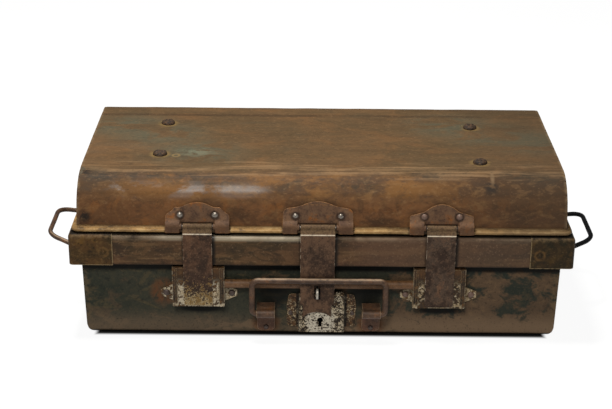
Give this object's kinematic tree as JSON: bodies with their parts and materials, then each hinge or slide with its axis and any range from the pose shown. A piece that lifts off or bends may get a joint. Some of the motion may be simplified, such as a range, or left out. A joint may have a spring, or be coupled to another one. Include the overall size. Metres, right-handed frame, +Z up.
{
  "type": "metal trunk",
  "caption": "Painted sheet-metal travel trunk with a round-shouldered lid, rim band, front hasps, lock, bail handle and end handles.",
  "frame": {"origin": "centre of the tub's flat bottom, on the floor", "axes": "+X to the viewer's right along the length, +Y to the back, +Z up"},
  "size_m": [0.8444, 0.4003, 0.256],
  "materials": {
    "tub_paint": "worn dark green paint with rust",
    "lid_paint": "worn brown paint with rust",
    "bead_paint": "worn ochre paint",
    "band_paint": "worn brown paint",
    "catch_paint": "worn black paint, speckled",
    "hasp_steel": "dark worn steel",
    "rusty_wire": "rusted",
    "black_wire": "black, worn",
    "rivet_steel": "worn bright",
    "staple_steel": "bright",
    "stud_steel": "dark worn steel",
    "bare_steel": "dull"
  },
  "bodies": {
    "tub": {"bail_bracket_left": "rusty_wire", "bail_bracket_right": "rusty_wire", "bail_bracket_rivets": "rivet_steel", "body_end_left": "tub_paint", "body_end_right": "tub_paint", "body_wrapper": "tub_paint", "catch_left": "catch_paint", "catch_right": "catch_paint", "catch_rivets": "rivet_steel", "handle_saddle_left_back": "rusty_wire", "handle_saddle_left_front": "rusty_wire", "handle_saddle_right_back": "black_wire", "handle_saddle_right_front": "black_wire", "hinge_pins": "bare_steel", "hinge_tub_leaf_left": "hasp_steel", "hinge_tub_leaf_right": "hasp_steel", "hinge_tub_rivets": "rivet_steel", "lock_case": "catch_paint", "lock_rivets": "rivet_steel", "lock_tube": "rusty_wire", "padlock_staple": "staple_steel", "rim_back": "band_paint", "rim_cap_back_left": "band_paint", "rim_cap_back_right": "band_paint", "rim_cap_front_left": "band_paint", "rim_cap_front_right": "band_paint", "rim_cap_rivets": "rivet_steel", "rim_front": "band_paint", "rim_left": "band_paint", "rim_right": "band_paint", "saddle_rivets": "rivet_steel"},
    "lid": {"hasp_pins": "bare_steel", "hasp_plate_left": "hasp_steel", "hasp_plate_middle": "hasp_steel", "hasp_plate_right": "hasp_steel", "hasp_plate_rivets": "rivet_steel", "hinge_lid_leaf_left": "hasp_steel", "hinge_lid_leaf_right": "hasp_steel", "hinge_lid_rivets": "rivet_steel", "lid_bead": "bead_paint", "lid_end_left": "lid_paint", "lid_end_right": "lid_paint", "lid_studs": "stud_steel", "lid_wrapper": "lid_paint"},
    "hasp_left": {"hasp_eye_left": "bare_steel", "hasp_left": "hasp_steel"},
    "hasp_middle": {"hasp_eye_middle": "bare_steel", "hasp_middle": "hasp_steel"},
    "hasp_right": {"hasp_eye_right": "bare_steel", "hasp_right": "hasp_steel"},
    "bail": {"front_bail": "rusty_wire"},
    "handle_left": {"end_handle_left": "rusty_wire"},
    "handle_right": {"end_handle_right": "black_wire"},
    "bolt_left": {"bolt_left": "bare_steel"},
    "bolt_right": {"bolt_right": "bare_steel"},
    "lock_bolt": {"lock_bolt": "bare_steel"}
  },
  "joints": [
    {"name": "lid_hinge", "type": "hinge", "parent": "tub", "child": "lid", "pos_m": [0, 0.189, 0.171], "axis": [-1, 0, 0], "range_deg": [0, 105]},
    {"name": "hasp_left_swing", "type": "hinge", "parent": "lid", "child": "hasp_left", "pos_m": [-0.179, -0.1805, 0.1778], "axis": [-1, 0, 0], "range_deg": [0, 160]},
    {"name": "hasp_middle_swing", "type": "hinge", "parent": "lid", "child": "hasp_middle", "pos_m": [-0.0055, -0.1805, 0.1778], "axis": [-1, 0, 0], "range_deg": [0, 160]},
    {"name": "hasp_right_swing", "type": "hinge", "parent": "lid", "child": "hasp_right", "pos_m": [0.1725, -0.1805, 0.1778], "axis": [-1, 0, 0], "range_deg": [0, 160]},
    {"name": "bail_swing", "type": "hinge", "parent": "tub", "child": "bail", "pos_m": [-0.00325, -0.1945, 0.046], "axis": [1, 0, 0], "range_deg": [0, 130]},
    {"name": "handle_left_swing", "type": "hinge", "parent": "tub", "child": "handle_left", "pos_m": [-0.35111, 0, 0.08787], "axis": [0, 1, 0], "range_deg": [-100, 40]},
    {"name": "handle_right_swing", "type": "hinge", "parent": "tub", "child": "handle_right", "pos_m": [0.35111, 0, 0.08787], "axis": [0, -1, 0], "range_deg": [-100, 40]},
    {"name": "lock_bolt_throw", "type": "slide", "parent": "tub", "child": "lock_bolt", "axis": [-1, 0, 0], "range_m": [0, 0.012]},
    {"name": "bolt_left_throw", "type": "slide", "parent": "tub", "child": "bolt_left", "axis": [-1, 0, 0], "range_m": [0, 0.012]},
    {"name": "bolt_right_throw", "type": "slide", "parent": "tub", "child": "bolt_right", "axis": [1, 0, 0], "range_m": [0, 0.012]}
  ],
  "couplings": [
    {"joint": "bolt_left_throw", "follows": "lock_bolt_throw", "ratio": 1},
    {"joint": "bolt_right_throw", "follows": "lock_bolt_throw", "ratio": 1}
  ]
}
